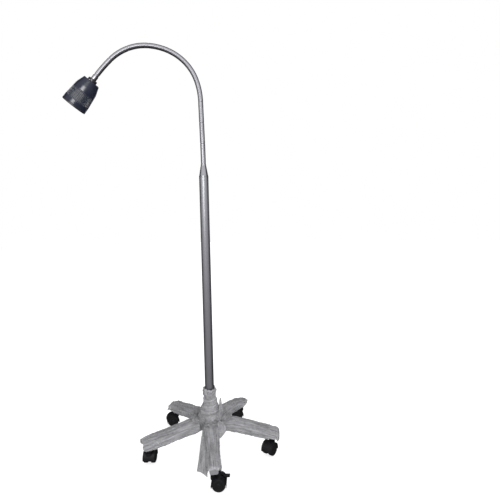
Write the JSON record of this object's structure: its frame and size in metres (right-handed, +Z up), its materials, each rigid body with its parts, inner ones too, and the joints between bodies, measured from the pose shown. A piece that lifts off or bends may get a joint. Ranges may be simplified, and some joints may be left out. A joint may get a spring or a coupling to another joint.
{
  "type": "examination lamp",
  "caption": "Mobile examination lamp: ribbed head on a bendable gooseneck over a steel column and a star base on swivelling castors, legs still in packing film.",
  "frame": {"origin": "on the floor under the column's axis", "axes": "+Z up along the column; the gooseneck bends in the XZ plane and the head hangs towards -X"},
  "size_m": [0.8424, 0.5489, 1.6899],
  "materials": {
    "chrome_neck": "polished wound steel",
    "satin_steel": "satin stainless tube",
    "turned_steel": "turned and polished",
    "dark_housing": "gloss dark blue-black enamel on a casting",
    "black_plastic": "moulded black",
    "clear_lens": "clear moulded lens",
    "seal_rubber": "matt black",
    "mirror_bowl": "vacuum-coated reflector",
    "circuit_board": "green board with parts",
    "bare_aluminium": "plain cast aluminium",
    "zinc_steel": "zinc-plated",
    "grey_base": "grey powder coat on a casting",
    "castor_black": "moulded black nylon",
    "wheel_black": "black tread",
    "packing_film": "thin milky polythene bubble film"
  },
  "bodies": {
    "stand": {"star_base": "grey_base", "castor_sleeves": "zinc_steel", "column_tube": "satin_steel", "column_plug": "zinc_steel", "foot_bush": "zinc_steel", "tie_bolt": "zinc_steel", "tie_washer": "zinc_steel", "cable_gland": "black_plastic", "hub_wrap": "packing_film", "leg_wrap_front": "packing_film", "leg_wrap_right_front": "packing_film", "leg_wrap_right_back": "packing_film", "leg_wrap_left_back": "packing_film", "leg_wrap_left_front": "packing_film"},
    "neck_foot": {"neck_cone": "turned_steel"},
    "neck_01": {"neck_link_01": "chrome_neck"},
    "neck_02": {"neck_link_02": "chrome_neck"},
    "neck_03": {"neck_link_03": "chrome_neck"},
    "neck_04": {"neck_link_04": "chrome_neck"},
    "neck_05": {"neck_link_05": "chrome_neck"},
    "neck_06": {"neck_link_06": "chrome_neck"},
    "neck_07": {"neck_link_07": "chrome_neck"},
    "neck_08": {"neck_link_08": "chrome_neck"},
    "neck_09": {"neck_link_09": "chrome_neck"},
    "neck_10": {"neck_link_10": "chrome_neck"},
    "head": {"head_housing": "dark_housing", "front_bezel": "black_plastic", "front_lens": "clear_lens", "lens_gasket": "seal_rubber", "reflector": "mirror_bowl", "led_board": "circuit_board", "heat_spreader": "bare_aluminium", "driver_board": "circuit_board", "rear_collar": "black_plastic", "neck_ferrule": "chrome_neck", "neck_nut": "zinc_steel", "switch_body": "black_plastic", "head_screws": "zinc_steel"},
    "button": {"push_button": "black_plastic"},
    "castor_front": {"castor_hood_front": "castor_black", "castor_stem_front": "zinc_steel", "castor_axle_front": "zinc_steel"},
    "wheels_front": {"castor_wheels_front": "wheel_black"},
    "castor_right_front": {"castor_hood_right_front": "castor_black", "castor_stem_right_front": "zinc_steel", "castor_axle_right_front": "zinc_steel"},
    "wheels_right_front": {"castor_wheels_right_front": "wheel_black"},
    "castor_right_back": {"castor_hood_right_back": "castor_black", "castor_stem_right_back": "zinc_steel", "castor_axle_right_back": "zinc_steel"},
    "wheels_right_back": {"castor_wheels_right_back": "wheel_black"},
    "castor_left_back": {"castor_hood_left_back": "castor_black", "castor_stem_left_back": "zinc_steel", "castor_axle_left_back": "zinc_steel"},
    "wheels_left_back": {"castor_wheels_left_back": "wheel_black"},
    "castor_left_front": {"castor_hood_left_front": "castor_black", "castor_stem_left_front": "zinc_steel", "castor_axle_left_front": "zinc_steel"},
    "wheels_left_front": {"castor_wheels_left_front": "wheel_black"},
    "brake": {"brake_lever": "castor_black"}
  },
  "joints": [
    {"name": "neck_turn", "type": "hinge", "parent": "stand", "child": "neck_foot", "pos_m": [0, 0, 1.17], "axis": [0, 0, 1], "range_deg": [-175, 175]},
    {"name": "neck_bend_00", "type": "hinge", "parent": "neck_foot", "child": "neck_01", "pos_m": [0, 0, 1.212], "axis": [0, -1, 0], "range_deg": [-18, 14]},
    {"name": "neck_bend_01", "type": "hinge", "parent": "neck_01", "child": "neck_02", "pos_m": [-0.00087, 0, 1.29479], "axis": [0, -1, 0], "range_deg": [-18, 14]},
    {"name": "neck_bend_02", "type": "hinge", "parent": "neck_02", "child": "neck_03", "pos_m": [-0.0026, 0, 1.37758], "axis": [0, -1, 0], "range_deg": [-18, 14]},
    {"name": "neck_bend_03", "type": "hinge", "parent": "neck_03", "child": "neck_04", "pos_m": [-0.00434, 0, 1.46036], "axis": [0, -1, 0], "range_deg": [-9.02, 2.7]},
    {"name": "neck_bend_04", "type": "hinge", "parent": "neck_04", "child": "neck_05", "pos_m": [-0.01894, 0, 1.54151], "axis": [0, -1, 0], "range_deg": [-21.26, 6.35]},
    {"name": "neck_bend_05", "type": "hinge", "parent": "neck_05", "child": "neck_06", "pos_m": [-0.06181, 0, 1.61161], "axis": [0, -1, 0], "range_deg": [-23.5, 7]},
    {"name": "neck_bend_06", "type": "hinge", "parent": "neck_06", "child": "neck_07", "pos_m": [-0.12916, 0, 1.65886], "axis": [0, -1, 0], "range_deg": [-20.77, 6.2]},
    {"name": "neck_bend_07", "type": "hinge", "parent": "neck_07", "child": "neck_08", "pos_m": [-0.20903, 0, 1.67922], "axis": [0, -1, 0], "range_deg": [-21.52, 6.42]},
    {"name": "neck_bend_08", "type": "hinge", "parent": "neck_08", "child": "neck_09", "pos_m": [-0.29058, 0, 1.66892], "axis": [0, -1, 0], "range_deg": [-23.52, 7.02]},
    {"name": "neck_bend_09", "type": "hinge", "parent": "neck_09", "child": "neck_10", "pos_m": [-0.36129, 0, 1.62693], "axis": [0, -1, 0], "range_deg": [-15.27, 4.56]},
    {"name": "neck_bend_10", "type": "hinge", "parent": "neck_10", "child": "head", "pos_m": [-0.41882, 0, 1.56746], "axis": [0, -1, 0], "range_deg": [-3.78, 1.14]},
    {"name": "button_press", "type": "slide", "parent": "head", "child": "button", "axis": [-0.6468, 0, -0.7627], "range_m": [0, 0.0015], "stiffness_N_per_m": 600, "springref_m": -0.001},
    {"name": "castor_swivel_front", "type": "hinge", "parent": "stand", "child": "castor_front", "pos_m": [0.03773, -0.26382, 0.075], "axis": [0, 0, 1], "continuous": true},
    {"name": "wheel_roll_front", "type": "hinge", "parent": "castor_front", "child": "wheels_front", "pos_m": [0.05573, -0.26382, 0.025], "axis": [0, 1, 0], "continuous": true},
    {"name": "castor_swivel_right_front", "type": "hinge", "parent": "stand", "child": "castor_right_front", "pos_m": [0.26256, -0.04564, 0.075], "axis": [0, 0, 1], "continuous": true},
    {"name": "wheel_roll_right_front", "type": "hinge", "parent": "castor_right_front", "child": "wheels_right_front", "pos_m": [0.25224, -0.06038, 0.025], "axis": [0.8192, -0.5736, 0], "continuous": true},
    {"name": "castor_swivel_right_back", "type": "hinge", "parent": "stand", "child": "castor_right_back", "pos_m": [0.12454, 0.23561, 0.075], "axis": [0, 0, 1], "continuous": true},
    {"name": "wheel_roll_right_back", "type": "hinge", "parent": "castor_right_back", "child": "wheels_right_back", "pos_m": [0.10681, 0.23248, 0.025], "axis": [0.1736, -0.9848, 0], "continuous": true},
    {"name": "castor_swivel_left_back", "type": "hinge", "parent": "stand", "child": "castor_left_back", "pos_m": [-0.18559, 0.19125, 0.075], "axis": [0, 0, 1], "continuous": true},
    {"name": "wheel_roll_left_back", "type": "hinge", "parent": "castor_left_back", "child": "wheels_left_back", "pos_m": [-0.20251, 0.1851, 0.025], "axis": [0.342, -0.9397, 0], "continuous": true},
    {"name": "castor_swivel_left_front", "type": "hinge", "parent": "stand", "child": "castor_left_front", "pos_m": [-0.23924, -0.11741, 0.075], "axis": [0, 0, 1], "continuous": true},
    {"name": "wheel_roll_left_front", "type": "hinge", "parent": "castor_left_front", "child": "wheels_left_front", "pos_m": [-0.23861, -0.09942, 0.025], "axis": [-0.9994, 0.0349, 0], "continuous": true},
    {"name": "brake_pedal", "type": "hinge", "parent": "castor_front", "child": "brake", "pos_m": [0.07173, -0.26382, 0.038], "axis": [0, 1, 0], "range_deg": [0, 15]}
  ],
  "couplings": [
    {"joint": "neck_bend_00", "follows": "neck_bend_01", "ratio": 1},
    {"joint": "neck_bend_02", "follows": "neck_bend_01", "ratio": 1},
    {"joint": "neck_bend_03", "follows": "neck_bend_05", "ratio": 0.383},
    {"joint": "neck_bend_04", "follows": "neck_bend_05", "ratio": 0.904},
    {"joint": "neck_bend_06", "follows": "neck_bend_05", "ratio": 0.883},
    {"joint": "neck_bend_07", "follows": "neck_bend_05", "ratio": 0.915},
    {"joint": "neck_bend_08", "follows": "neck_bend_05", "ratio": 1},
    {"joint": "neck_bend_09", "follows": "neck_bend_05", "ratio": 0.649},
    {"joint": "neck_bend_10", "follows": "neck_bend_05", "ratio": 0.16}
  ]
}
